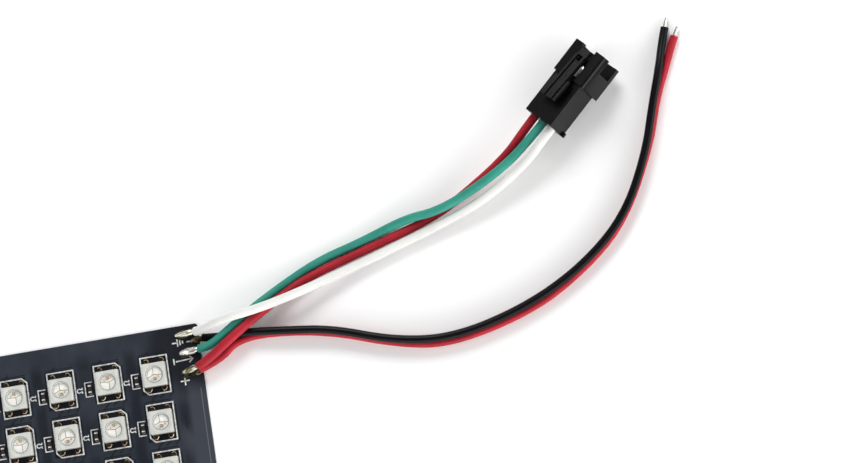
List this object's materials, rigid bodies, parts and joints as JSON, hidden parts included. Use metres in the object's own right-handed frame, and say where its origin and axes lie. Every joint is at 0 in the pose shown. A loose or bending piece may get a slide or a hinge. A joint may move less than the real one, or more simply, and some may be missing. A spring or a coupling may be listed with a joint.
{
  "type": "rgb led matrix panel",
  "caption": "Thin black flexible board with a square grid of white RGB LEDs, a three-wire data lead to a locking connector and a two-wire power lead with tinned ends.",
  "frame": {"origin": "middle of the board's back face, which lies on the ground plane", "axes": "+Z out of the LED side, +X along an LED row towards the edge with the wires, +Y along an LED column towards the wire corner; the wires and connector lie beside the board on the same ground"},
  "size_m": [0.1996, 0.1356, 0.011],
  "materials": {
    "board": "satin solder mask",
    "led_body": "moulded, slightly glossy",
    "lead": "plated, bright",
    "capacitor": "fired ceramic",
    "solder": "bright solder",
    "white_insulation": "smooth soft insulation",
    "green_insulation": "smooth soft insulation",
    "red_insulation": "smooth soft insulation",
    "black_insulation": "smooth soft insulation",
    "tinned_copper": "tinned strands",
    "housing": "fine moulded satin",
    "pin": "tin plated"
  },
  "bodies": {
    "root": {"flex_board": "board", "led_housings_1": "led_body", "led_housings_2": "led_body", "led_housings_3": "led_body", "led_housings_4": "led_body", "led_housings_5": "led_body", "led_housings_6": "led_body", "led_housings_7": "led_body", "led_housings_8": "led_body", "led_leads_1": "lead", "led_leads_2": "lead", "led_leads_3": "lead", "led_leads_4": "lead", "led_leads_5": "lead", "led_leads_6": "lead", "led_leads_7": "lead", "led_leads_8": "lead", "capacitors_1": "capacitor", "capacitors_2": "capacitor", "capacitors_3": "capacitor", "capacitors_4": "capacitor", "capacitors_5": "capacitor", "capacitors_6": "capacitor", "capacitors_7": "capacitor", "capacitors_8": "capacitor", "solder_joint_gnd": "solder", "solder_joint_data": "solder", "solder_joint_plus": "solder", "solder_joint_power_minus": "solder", "solder_joint_power_plus": "solder", "data_wire_white": "white_insulation", "data_wire_green": "green_insulation", "data_wire_red": "red_insulation", "power_wire_black": "black_insulation", "power_wire_red": "red_insulation", "tinned_tip_black": "tinned_copper", "tinned_tip_red": "tinned_copper", "connector_housing": "housing", "contact_pin_gnd": "pin", "contact_pin_data": "pin", "contact_pin_plus": "pin"}
  },
  "joints": []
}
